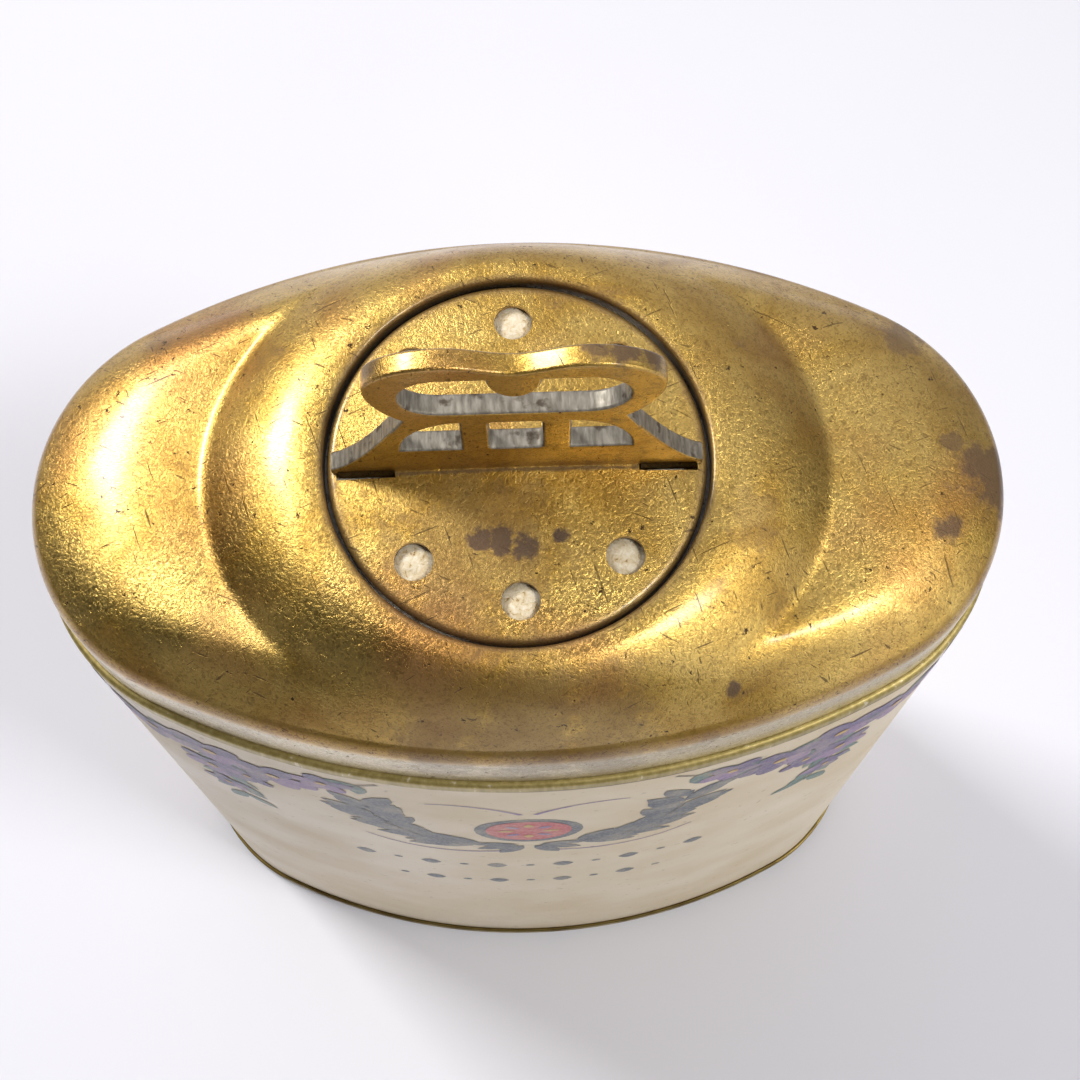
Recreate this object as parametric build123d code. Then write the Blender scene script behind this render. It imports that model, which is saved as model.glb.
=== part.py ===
from build123d import *
import math
import os

# Oval talcum powder tin with a lift-off domed lid and a turning sifter top.
# Millimetres, +Z up. The origin is on the table, under the middle of the tin.
# +X runs along the oval, -Y is the front, and the sifter turns about the Z axis.

# ---- Driving dimensions ----
# Lid outline: a four-arc oval, measured over the outside of the skirt.
LID_WIDTH = 76.0
LID_DEPTH = 43.0
LID_END_RADIUS = 16.2
BODY_HEIGHT = 93.0        # table to the ledge under the skirt
BODY_PROUD = 0.55         # how far the body wall stands out past the skirt
SKIRT_HEIGHT = 6.0

# Sheet metal
TIN_SHEET = 0.35
BRASS_SHEET = 0.4

# Clearances
SOLDER_GAP = 0.03         # between sheets that are soldered or crimped together
LID_SLIP = 0.15           # all round, between the skirt and the neck
LID_SEAT_GAP = 0.1        # between the skirt's edge and the ledge
TURN_CLEARANCE = 0.05     # between the turning parts and what they turn on

# Base
BASE_RECESS = 1.8         # the floor is sunk this far above the table
HEM_HEIGHT = 1.8          # the crimped rim that grips the wall's lower edge
HEM_ROUNDING = 0.15

# Side seam at the back
SEAM_WIDTH = 6.0
SEAM_PROUD = 0.2

# Neck that the lid slips over
NECK_HEIGHT = 5.4         # above the ledge
NECK_TAIL = 6.0           # soldered length inside the wall

# Lid dome, heights above the top of the skirt
SHOULDER_RISE = 1.5
SHOULDER_INSET = 0.35
TIER_HALF_WIDTH = 24.55   # the crease between the lower and the upper pillow
TIER_HALF_DEPTH = 20.1
TIER_END_RADIUS = 17.6
TIER_RISE = 4.86
PILLOW_RISE = 4.4         # height of the lower pillow midway
RIM_RISE = 8.75
RIM_WIDTH = 1.4           # flat rim round the well
UPPER_PILLOW_RISE = 7.7   # height of the upper pillow midway

# Well and sifter
WELL_RADIUS = 14.5
WELL_DEPTH = 2.2          # rim to the sieve plate
CRIMP_HEIGHT = 1.2        # the sieve plate's wall, pressed over the well's wall
DISC_GAP = 0.3            # between the disc and the well
DISC_DROP = 0.35          # the disc's edge below the rim
DISC_CROWN = 0.6          # rise of the disc from its edge to its middle
DISC_EDGE_RADIUS = 0.6
HOLE_DIAMETER = 2.9
HOLE_INSET = 3.2          # from the disc's edge to the middle of each hole
HOLE_STEP = 45.0          # degrees between neighbouring holes
OPEN_TURN = 22.5          # degrees from shut to open

# Thumb key
KEY_HEIGHT = 19.2
KEY_THICKNESS = 1.6
KEY_INSET = 0.4           # from the disc's edge to the tips of the foot
KEY_TIP = 0.7             # height of the foot at its tips
KEY_WAIST = 7.9           # half width at the waist
KEY_WAIST_HEIGHT = 9.9
FOOT_HOLLOW = 0.3         # how far the foot's sloping edge is drawn in
WING_HALF_SPAN = 10.3
WING_BELLY = 0.3          # fullness of the wing below its widest point
WING_HEIGHT = 15.6        # height of the wings' widest point
WING_CREST = 5.0          # how far from the middle each wing's crest lies
KEY_DIP = 1.2             # dip between the two crests
POST_INNER = 1.9          # from the middle to each of the two posts between the lower windows
POST_WIDTH = 2.05
UPPER_SILL = 11.0         # wide upper window
UPPER_HEAD = 16.9
UPPER_HALF_WIDTH = 7.9
UPPER_ROUNDING = 2.8
TONGUE_DROP = 3.0         # how far a tongue hangs into it from between the wings
LOWER_SILL = 4.0          # row of three lower windows
LOWER_HEAD = 9.15
LOWER_SIDE_WIDTH = 4.4    # each outer window is a quarter of an oval
LOWER_ROUNDING = 0.4
LUG_INSET = 0.5           # from the tip of the foot to the lug
LUG_LENGTH = 4.1
LUG_THICKNESS = 0.4
LUG_FOLD = 1.9            # length of the clenched end
SLOT_SHOW = 0.45          # width of slot left open in front of the key
SLOT_END_GAP = 0.15
SHANK_DIAMETER = 1.5
RIVET_HEAD_DIAMETER = 3.2
RIVET_HEAD_HEIGHT = 0.6
WASHER_DIAMETER = 6.4
WASHER_THICKNESS = 0.3
WASHER_DISH = 0.3

# Stop pips on the sieve plate, one each side of a lug's clenched end
PIP_RADIUS = 0.45
PIP_INSET = 1.8           # from the lug's outer end to the middle of the pip

# ---- Derived levels ----
HALF_WIDTH = LID_WIDTH / 2
HALF_DEPTH = LID_DEPTH / 2
SKIRT_BOTTOM = BODY_HEIGHT + LID_SEAT_GAP
SKIRT_TOP = SKIRT_BOTTOM + SKIRT_HEIGHT
RIM_TOP = SKIRT_TOP + RIM_RISE
RIM_RADIUS = WELL_RADIUS + RIM_WIDTH
PLATE_TOP = RIM_TOP - WELL_DEPTH
PLATE_BOTTOM = PLATE_TOP - TIN_SHEET
WALL_INSIDE = BODY_PROUD - TIN_SHEET
NECK_OUTSIDE = -BRASS_SHEET - LID_SLIP
DISC_RADIUS = WELL_RADIUS - DISC_GAP
DISC_EDGE_TOP = RIM_TOP - DISC_DROP
DISC_TOP = DISC_EDGE_TOP + DISC_CROWN
DISC_BOTTOM = PLATE_TOP + TURN_CLEARANCE
FLAT_RADIUS = DISC_RADIUS - DISC_EDGE_RADIUS
CROWN_RADIUS = (FLAT_RADIUS**2 + DISC_CROWN**2) / (2 * DISC_CROWN)
HOLE_PITCH_RADIUS = DISC_RADIUS - HOLE_INSET
KEY_HALF_SPAN = DISC_RADIUS - KEY_INSET
KEY_FRONT = -KEY_THICKNESS / 2
LUG_OUTER = KEY_HALF_SPAN - LUG_INSET
LUG_INNER = LUG_OUTER - LUG_LENGTH
PIP_CIRCLE_RADIUS = LUG_OUTER - PIP_INSET
LUG_TOP = DISC_TOP
CUT = 5.0                 # overshoot of a cutting tool past what it cuts


def crown_height(distance):
    """Height of the disc's top at a distance from its middle."""
    return DISC_TOP - CROWN_RADIUS + math.sqrt(CROWN_RADIUS**2 - distance**2)


FOLD_TOP = crown_height(LUG_OUTER) - BRASS_SHEET - TURN_CLEARANCE
FOLD_BOTTOM = FOLD_TOP - LUG_THICKNESS
PIP_TOP = (FOLD_TOP + FOLD_BOTTOM) / 2
WASHER_TOP = PLATE_BOTTOM - TURN_CLEARANCE
RIVET_TOP = WASHER_TOP - WASHER_DISH - WASHER_THICKNESS - SOLDER_GAP


def oval_face(half_width, half_depth, end_radius, z):
    """A level face bounded by four tangent arcs, or a circle where all three sizes agree."""
    corner = Vector(math.cos(math.pi / 4), math.sin(math.pi / 4)) * end_radius
    if half_depth - end_radius > 1e-6:
        straight = half_width - end_radius
        side_radius = (straight**2 + half_depth**2 - end_radius**2) / (2 * (half_depth - end_radius))
        reach = Vector(straight, side_radius - half_depth).normalized() * end_radius
        corner = Vector(straight, 0) + reach
    right = ThreePointArc((corner.X, -corner.Y, z), (half_width, 0, z), (corner.X, corner.Y, z))
    back = ThreePointArc((corner.X, corner.Y, z), (0, half_depth, z), (-corner.X, corner.Y, z))
    left = ThreePointArc((-corner.X, corner.Y, z), (-half_width, 0, z), (-corner.X, -corner.Y, z))
    front = ThreePointArc((-corner.X, -corner.Y, z), (0, -half_depth, z), (corner.X, -corner.Y, z))
    return Face(Wire([right, back, left, front]))


def outline(outset, z):
    """The lid's outline, moved outwards by outset."""
    return oval_face(HALF_WIDTH + outset, HALF_DEPTH + outset, LID_END_RADIUS + outset, z)


def oval_solid(outset, low, high):
    return extrude(outline(outset, low), high - low, dir=(0, 0, 1))


def hoop(outside, inside, low, high):
    """An upright oval ring between two outsets."""
    return oval_solid(outside, low, high) - oval_solid(inside, low - CUT, high + CUT)


def tube(outer_radius, inner_radius, low, high):
    ring = Circle(outer_radius) - Circle(inner_radius)
    return extrude(Pos(0, 0, low) * ring, high - low)


def rod(radius, low, high):
    return extrude(Pos(0, 0, low) * Circle(radius), high - low)


def body_wall():
    """Tinplate wall with a ledge turned in at its top and a lapped seam down the back."""
    low = TIN_SHEET + SOLDER_GAP
    wall = hoop(BODY_PROUD, WALL_INSIDE, low, BODY_HEIGHT)
    ledge = hoop(BODY_PROUD, NECK_OUTSIDE + SOLDER_GAP, BODY_HEIGHT - TIN_SHEET, BODY_HEIGHT)
    seam_low = HEM_HEIGHT + SOLDER_GAP
    seam_band = hoop(BODY_PROUD + SEAM_PROUD, BODY_PROUD - TIN_SHEET / 2, seam_low, BODY_HEIGHT)
    at_back = Box(SEAM_WIDTH, HALF_DEPTH * 2, BODY_HEIGHT * 2).move(Location((0, HALF_DEPTH, 0)))
    return wall + ledge + (seam_band & at_back)


def base_pan():
    """Sunk floor with a wall that runs down inside the body and is crimped up round its edge."""
    inside = WALL_INSIDE - SOLDER_GAP
    outside = BODY_PROUD + SOLDER_GAP + TIN_SHEET
    floor = oval_solid(inside, BASE_RECESS, BASE_RECESS + TIN_SHEET)
    foot = hoop(inside, inside - TIN_SHEET, 0, BASE_RECESS + TIN_SHEET)
    channel = hoop(outside, inside - TIN_SHEET, 0, TIN_SHEET)
    hem = hoop(outside, BODY_PROUD + SOLDER_GAP, 0, HEM_HEIGHT)
    pan = floor + foot + channel + hem
    return fillet(pan.edges().group_by(Axis.Z)[0], HEM_ROUNDING)


def neck_ring():
    """Oval ring soldered inside the wall, stepped in and up so that the lid slips over it."""
    tail_outside = WALL_INSIDE - SOLDER_GAP
    step_top = BODY_HEIGHT - TIN_SHEET - SOLDER_GAP
    neck_inside = NECK_OUTSIDE - TIN_SHEET
    neck = hoop(NECK_OUTSIDE, neck_inside, step_top - TIN_SHEET, BODY_HEIGHT + NECK_HEIGHT)
    step = hoop(tail_outside, neck_inside, step_top - TIN_SHEET, step_top)
    tail = hoop(tail_outside, tail_outside - TIN_SHEET, BODY_HEIGHT - NECK_TAIL, step_top)
    return neck + step + tail


def dome(inset, drop):
    """The lid's stepped dome as a solid, drawn in by inset and lowered by drop."""
    base = SKIRT_TOP - drop
    shoulder = -SHOULDER_INSET - inset
    middle_half_width = (HALF_WIDTH + TIER_HALF_WIDTH) / 2
    middle_half_depth = (HALF_DEPTH + TIER_HALF_DEPTH) / 2
    middle_end = (LID_END_RADIUS + TIER_END_RADIUS) / 2
    upper_half_width = (TIER_HALF_WIDTH + RIM_RADIUS) / 2
    upper_half_depth = (TIER_HALF_DEPTH + RIM_RADIUS) / 2
    upper_end = (TIER_END_RADIUS + RIM_RADIUS) / 2
    crease = oval_face(
        TIER_HALF_WIDTH - inset, TIER_HALF_DEPTH - inset, TIER_END_RADIUS - inset, base + TIER_RISE
    )
    lower = [
        outline(-inset, base),
        outline(shoulder, base + SHOULDER_RISE),
        oval_face(
            middle_half_width - inset, middle_half_depth - inset, middle_end - inset, base + PILLOW_RISE
        ),
        crease,
    ]
    upper = [
        crease,
        oval_face(
            upper_half_width - inset, upper_half_depth - inset, upper_end - inset, base + UPPER_PILLOW_RISE
        ),
        oval_face(RIM_RADIUS - inset, RIM_RADIUS - inset, RIM_RADIUS - inset, base + RIM_RISE),
    ]
    return loft(lower) + loft(upper)


def lid_dome():
    """Stamped brass lid: skirt, shoulder, two pillows, a flat rim and the wall of the well."""
    outside = oval_solid(0, SKIRT_BOTTOM, SKIRT_TOP) + dome(0, 0)
    inside = oval_solid(-BRASS_SHEET, SKIRT_BOTTOM - CUT, SKIRT_TOP - BRASS_SHEET)
    inside = inside + dome(BRASS_SHEET, BRASS_SHEET)
    well = Pos(0, 0, PLATE_TOP) * extrude(Circle(WELL_RADIUS), WELL_DEPTH + CUT)
    well_wall = tube(WELL_RADIUS + BRASS_SHEET, WELL_RADIUS, PLATE_TOP + SOLDER_GAP, RIM_TOP)
    return outside - inside - well + well_wall


def hole_angles():
    """Directions of the disc's holes: every step of the circle but the two under the key's feet."""
    steps = round(360 / HOLE_STEP)
    angles = [step * HOLE_STEP for step in range(steps)]
    return [angle for angle in angles if angle % 180 != 0]


def drill(plate, turn):
    """Cut the ring of powder holes, turned about the middle, through a plate."""
    for angle in hole_angles():
        spot = Rot(0, 0, angle + turn) * Pos(HOLE_PITCH_RADIUS, 0, DISC_TOP)
        plate = plate - spot * Cylinder(HOLE_DIAMETER / 2, RIM_RISE)
    return plate


def sieve_plate():
    """Fixed perforated plate, a shallow cup crimped up over the outside of the well's wall."""
    cup_inside = WELL_RADIUS + BRASS_SHEET + SOLDER_GAP
    cup_outside = cup_inside + TIN_SHEET
    shank_hole = SHANK_DIAMETER / 2 + TURN_CLEARANCE
    plate = tube(cup_outside, shank_hole, PLATE_BOTTOM, PLATE_TOP)
    plate = drill(plate, OPEN_TURN)
    plate = plate + tube(cup_outside, cup_inside, PLATE_BOTTOM, PLATE_TOP + CRIMP_HEIGHT)
    reach = PIP_RADIUS + TURN_CLEARANCE
    shut_stop = -math.asin((reach - KEY_FRONT) / PIP_CIRCLE_RADIUS)
    open_stop = math.radians(OPEN_TURN) + math.asin((reach + KEY_FRONT + LUG_FOLD) / PIP_CIRCLE_RADIUS)
    for angle in (shut_stop, open_stop):
        x = PIP_CIRCLE_RADIUS * math.cos(angle)
        y = PIP_CIRCLE_RADIUS * math.sin(angle)
        pip = extrude(Pos(x, y, PLATE_BOTTOM) * Circle(PIP_RADIUS), PIP_TOP - PLATE_BOTTOM)
        plate = plate + pip
    return plate


def sifter_disc():
    """Crowned brass disc with a turned-down edge, six powder holes and two slots for the lugs."""
    edge = DISC_RADIUS
    round_start = DISC_EDGE_TOP - DISC_EDGE_RADIUS
    inner_edge = DISC_RADIUS - BRASS_SHEET
    outer_turn = math.sqrt(0.5) * DISC_EDGE_RADIUS
    inner_turn = math.sqrt(0.5) * (DISC_EDGE_RADIUS - BRASS_SHEET)
    half_flat = FLAT_RADIUS / 2
    crown_half = crown_height(half_flat)
    under = DISC_TOP - BRASS_SHEET
    profile = [
        ThreePointArc((0, 0, DISC_TOP), (half_flat, 0, crown_half), (FLAT_RADIUS, 0, DISC_EDGE_TOP)),
        ThreePointArc(
            (FLAT_RADIUS, 0, DISC_EDGE_TOP),
            (FLAT_RADIUS + outer_turn, 0, round_start + outer_turn),
            (edge, 0, round_start),
        ),
        Line((edge, 0, round_start), (edge, 0, DISC_BOTTOM)),
        Line((edge, 0, DISC_BOTTOM), (inner_edge, 0, DISC_BOTTOM)),
        Line((inner_edge, 0, DISC_BOTTOM), (inner_edge, 0, round_start)),
        ThreePointArc(
            (inner_edge, 0, round_start),
            (FLAT_RADIUS + inner_turn, 0, round_start + inner_turn),
            (FLAT_RADIUS, 0, DISC_EDGE_TOP - BRASS_SHEET),
        ),
        ThreePointArc(
            (FLAT_RADIUS, 0, DISC_EDGE_TOP - BRASS_SHEET),
            (half_flat, 0, crown_half - BRASS_SHEET),
            (0, 0, under),
        ),
        Line((0, 0, under), (0, 0, DISC_TOP)),
    ]
    disc = drill(revolve(Face(Wire(profile)), Axis.Z), 0)
    disc = disc - Pos(0, 0, DISC_TOP) * Cylinder(SHANK_DIAMETER / 2 + SOLDER_GAP, RIM_RISE)
    slot_length = LUG_LENGTH + 2 * SLOT_END_GAP
    slot_width = SLOT_SHOW + LUG_THICKNESS + TURN_CLEARANCE
    slot_middle = KEY_FRONT - SLOT_SHOW + slot_width / 2
    for side in (-1, 1):
        x = side * (LUG_INNER + LUG_OUTER) / 2
        disc = disc - Pos(x, slot_middle, DISC_TOP) * Box(slot_length, slot_width, RIM_RISE)
    return disc


def key_face():
    """The key's outline in the plane through the disc's middle, drawn for one side and mirrored."""
    foot_half = KEY_HALF_SPAN / 2
    foot_end = (KEY_HALF_SPAN, 0, crown_height(FLAT_RADIUS) + SOLDER_GAP)
    tip = (KEY_HALF_SPAN, 0, DISC_EDGE_TOP + KEY_TIP)
    waist = (KEY_WAIST, 0, DISC_TOP + KEY_WAIST_HEIGHT)
    foot_hollow = (
        (KEY_WAIST + KEY_HALF_SPAN) / 2 - FOOT_HOLLOW,
        0,
        DISC_TOP + (KEY_WAIST_HEIGHT + KEY_TIP) / 2 - FOOT_HOLLOW,
    )
    wing_low = (KEY_WAIST + WING_HALF_SPAN) / 2 + WING_BELLY
    wing_low_height = (KEY_WAIST_HEIGHT + WING_HEIGHT) / 2 - WING_BELLY
    wing = Spline(
        waist,
        (wing_low, 0, DISC_TOP + wing_low_height),
        (WING_HALF_SPAN, 0, DISC_TOP + WING_HEIGHT),
        (WING_CREST, 0, DISC_TOP + KEY_HEIGHT),
        (0, 0, DISC_TOP + KEY_HEIGHT - KEY_DIP),
        tangents=[(1, 0, 1), (-1, 0, 0)],
    )
    half = Face(
        Wire(
            [
                ThreePointArc(
                    (0, 0, DISC_TOP + SOLDER_GAP),
                    (foot_half, 0, crown_height(foot_half) + SOLDER_GAP),
                    foot_end,
                ),
                Line(foot_end, tip),
                ThreePointArc(tip, foot_hollow, waist),
                wing,
                Line((0, 0, DISC_TOP + KEY_HEIGHT - KEY_DIP), (0, 0, DISC_TOP + SOLDER_GAP)),
            ]
        )
    )
    return half + mirror(half, about=Plane.YZ)


def key_piercing():
    """Openings of the key: a wide upper window with a tongue at its head, over a row of three."""
    upper = UPPER_HEAD - UPPER_SILL
    lower = LOWER_HEAD - LOWER_SILL
    cuts = Pos(0, UPPER_SILL + upper / 2) * RectangleRounded(2 * UPPER_HALF_WIDTH, upper, UPPER_ROUNDING)
    cuts = cuts - Pos(0, UPPER_HEAD) * Ellipse(POST_INNER, TONGUE_DROP)
    quarter = Ellipse(LOWER_SIDE_WIDTH, lower) & (
        Pos(LOWER_SIDE_WIDTH / 2, lower / 2) * Rectangle(LOWER_SIDE_WIDTH, lower)
    )
    quarter = Pos(POST_INNER + POST_WIDTH, LOWER_SILL) * quarter
    cuts = cuts + Pos(0, LOWER_SILL + lower / 2) * RectangleRounded(2 * POST_INNER, lower, LOWER_ROUNDING)
    cuts = cuts + quarter + mirror(quarter, about=Plane.YZ)
    upright = Plane(origin=(0, KEY_THICKNESS, DISC_TOP), x_dir=(1, 0, 0), z_dir=(0, -1, 0))
    return extrude(upright * cuts, 2 * KEY_THICKNESS)


def thumb_key():
    """Pierced two-winged key with clenched lugs and a shank riveted below the sieve plate."""
    key = extrude(key_face(), KEY_THICKNESS / 2, dir=(0, 1, 0), both=True) - key_piercing()
    lug_height = LUG_TOP - FOLD_BOTTOM
    lug_corner = (Align.MIN, Align.MIN, Align.MIN)
    for start in (-LUG_OUTER, LUG_INNER):
        corner = Pos(start, KEY_FRONT, FOLD_BOTTOM)
        key = key + corner * Box(LUG_LENGTH, LUG_THICKNESS, lug_height, align=lug_corner)
        key = key + corner * Box(LUG_LENGTH, LUG_FOLD, LUG_THICKNESS, align=lug_corner)
    shank_low = RIVET_TOP - RIVET_HEAD_HEIGHT / 2
    key = key + rod(SHANK_DIAMETER / 2, shank_low, DISC_TOP + KEY_THICKNESS / 2)
    return key + rod(RIVET_HEAD_DIAMETER / 2, RIVET_TOP - RIVET_HEAD_HEIGHT, RIVET_TOP)


def pivot_washer():
    """Dished washer that draws the disc down onto the sieve plate."""
    inner = SHANK_DIAMETER / 2 + SOLDER_GAP
    outer = WASHER_DIAMETER / 2
    section = Polyline(
        (outer, 0, WASHER_TOP),
        (outer, 0, WASHER_TOP - WASHER_THICKNESS),
        (inner, 0, WASHER_TOP - WASHER_DISH - WASHER_THICKNESS),
        (inner, 0, WASHER_TOP - WASHER_DISH),
        close=True,
    )
    return revolve(Face(Wire(section.edges())), Axis.Z)


PIECES = [
    body_wall,
    base_pan,
    neck_ring,
    lid_dome,
    sieve_plate,
    sifter_disc,
    thumb_key,
    pivot_washer,
]

os.makedirs("parts", exist_ok=True)
for piece in PIECES:
    export_step(piece(), f"parts/{piece.__name__}.step")
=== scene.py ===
import math
import random

import bmesh
import bpy
from mathutils import Matrix, Vector, geometry, noise


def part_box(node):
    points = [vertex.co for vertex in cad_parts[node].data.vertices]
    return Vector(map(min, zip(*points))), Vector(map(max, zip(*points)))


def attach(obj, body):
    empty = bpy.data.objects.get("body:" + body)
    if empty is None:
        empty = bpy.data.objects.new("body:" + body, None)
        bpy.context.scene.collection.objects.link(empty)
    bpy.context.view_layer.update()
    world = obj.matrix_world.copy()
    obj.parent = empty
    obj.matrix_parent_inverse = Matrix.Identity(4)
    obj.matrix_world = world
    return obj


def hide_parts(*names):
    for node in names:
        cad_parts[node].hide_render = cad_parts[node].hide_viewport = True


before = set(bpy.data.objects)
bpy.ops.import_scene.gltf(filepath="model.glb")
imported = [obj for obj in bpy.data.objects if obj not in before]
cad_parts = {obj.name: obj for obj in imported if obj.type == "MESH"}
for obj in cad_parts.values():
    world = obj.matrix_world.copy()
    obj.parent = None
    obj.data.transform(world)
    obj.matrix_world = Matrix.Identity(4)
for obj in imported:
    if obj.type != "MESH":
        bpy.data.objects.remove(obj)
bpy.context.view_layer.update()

MM = 0.001
lid_low, lid_high = (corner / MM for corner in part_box("lid_dome"))
HALF_WIDTH = lid_high.x
HALF_DEPTH = lid_high.y


# ---- Printed body wall ----
# Tinplate sheet, lithographed while flat, bent to an oval and lap-seamed down the back.
# Its top edge is turned in as a ledge for the lid, and its foot sits in the base's crimp.

TIN_SHEET = 0.35
LID_END_RADIUS = 16.2          # the small arcs at the ends of the lid's oval
WALL_PROUD = 0.55              # the wall stands out past the lid's skirt
LEDGE_PROUD = -0.52            # inner edge of the ledge
LEDGE_ROUNDING = 0.4
SEAM_HALF_WIDTH = 3.0
SEAM_RAMP = 0.25
SEAM_PROUD = 0.2
SEAM_FOOT = 2.0                # the seam starts above the crimp
GILT_BAND = 1.7                # printed band under the ledge

wall_low, wall_high = (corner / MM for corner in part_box("body_wall"))


def oval_point(angle, half_width, half_depth, end_radius):
    """The point of a four-arc oval at which its outward normal points along angle."""
    across, along = math.cos(angle), math.sin(angle)
    straight = half_width - end_radius
    if half_depth - end_radius < 1e-6:
        return Vector((across, along)) * half_width
    side_radius = (straight**2 + half_depth**2 - end_radius**2) / (2 * (half_depth - end_radius))
    drop = side_radius - half_depth
    point = Vector((straight + abs(across) * end_radius, abs(along) * end_radius))
    if abs(along) * straight > abs(across) * drop:
        point = Vector((abs(across) * side_radius, abs(along) * side_radius - drop))
    return Vector((math.copysign(point.x, across), math.copysign(point.y, along)))


def lid_oval(angle, outset):
    """A point of the lid's outline, moved outwards by outset."""
    return oval_point(angle, HALF_WIDTH + outset, HALF_DEPTH + outset, LID_END_RADIUS + outset)


def draw_oval(point):
    """Carries a point of a round shell of the lid's half width to the oval."""
    flat = lid_oval(math.atan2(point.y, point.x), point.xy.length - HALF_WIDTH)
    return Vector((flat.x, flat.y, point.z))


def rounded(points, radius, steps=5):
    """A chain of (radius, height) points whose inner corners are turned into arcs."""
    path = [Vector(points[0])]
    for before, at, after in zip(points, points[1:], points[2:]):
        corner = Vector(at)
        back = (Vector(before) - corner).normalized()
        onward = (Vector(after) - corner).normalized()
        half = back.angle(onward) / 2
        centre = corner + (back + onward).normalized() * radius / math.sin(half)
        first = corner + back * radius / math.tan(half) - centre
        last = corner + onward * radius / math.tan(half) - centre
        path += [centre + first.slerp(last, step / steps) * radius for step in range(steps + 1)]
    path.append(Vector(points[-1]))
    return path


def spun(profile, place=None, steps=360):
    """The outer face of a pressed sheet: its section turned round the Z axis, then drawn to its place."""
    mesh = bmesh.new()
    chain = [mesh.verts.new((radius, 0, height)) for radius, height in profile]
    edges = [mesh.edges.new(pair) for pair in zip(chain, chain[1:])]
    bmesh.ops.spin(
        mesh, geom=chain + edges, axis=(0, 0, 1), angle=math.tau, steps=steps, use_merge=True
    )
    bmesh.ops.remove_doubles(mesh, verts=mesh.verts, dist=0.001)
    for vertex in mesh.verts:
        if place:
            vertex.co = place(vertex.co)
    bmesh.ops.recalc_face_normals(mesh, faces=mesh.faces)
    mesh.normal_update()
    outermost = max(mesh.faces, key=lambda face: face.calc_center_median().xy.length)
    if outermost.normal.xy.dot(outermost.calc_center_median().xy) < 0:
        bmesh.ops.reverse_faces(mesh, faces=mesh.faces)
    return mesh


def make_piece(mesh, name, materials, sheet=0.0, crisp=40):
    """Ends a bmesh drawn in millimetres as a smooth object in metres, with the sheet's thickness inwards."""
    bmesh.ops.scale(mesh, vec=(MM, MM, MM), verts=mesh.verts)
    for face in mesh.faces:
        face.smooth = True
    data = bpy.data.meshes.new(name)
    mesh.to_mesh(data)
    mesh.free()
    for material in materials:
        data.materials.append(material)
    data.set_sharp_from_angle(angle=math.radians(crisp))
    piece = bpy.data.objects.new(name, data)
    bpy.context.scene.collection.objects.link(piece)
    if sheet:
        wall = piece.modifiers.new("sheet", "SOLIDIFY")
        wall.thickness = sheet * MM
        wall.offset = -1
        wall.use_even_offset = True
        wall.material_offset = len(materials) - 1
    normals = piece.modifiers.new("normals", "WEIGHTED_NORMAL")
    normals.keep_sharp = True
    return piece


def paint(hex_colour):
    """An sRGB hex colour as linear RGBA."""
    channels = [int(hex_colour[start:start + 2], 16) / 255 for start in (0, 2, 4)]
    return (*[c / 12.92 if c <= 0.04045 else ((c + 0.055) / 1.055) ** 2.4 for c in channels], 1)


def node(material, kind, inputs, **settings):
    """Adds a shader node. An input's value may be a number, a colour, a node or one of its outputs."""
    made = material.node_tree.nodes.new("ShaderNode" + kind)
    for name, value in settings.items():
        setattr(made, name, value)
    for key, value in inputs.items():
        named = (s for s in made.inputs if s.enabled and s.name == key)
        entry = made.inputs[key] if isinstance(key, int) else next(named)
        if isinstance(value, bpy.types.Node):
            value = next(s for s in value.outputs if s.enabled)
        if isinstance(value, bpy.types.NodeSocket):
            material.node_tree.links.new(value, entry)
        else:
            entry.default_value = value
    return made


def new_material(name):
    """An empty material, its Object coordinates and its shader."""
    material = bpy.data.materials.new(name)
    material.use_nodes = True
    shader = material.node_tree.nodes["Principled BSDF"]
    place = node(material, "TexCoord", {}).outputs["Object"]
    return material, place, shader


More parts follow.
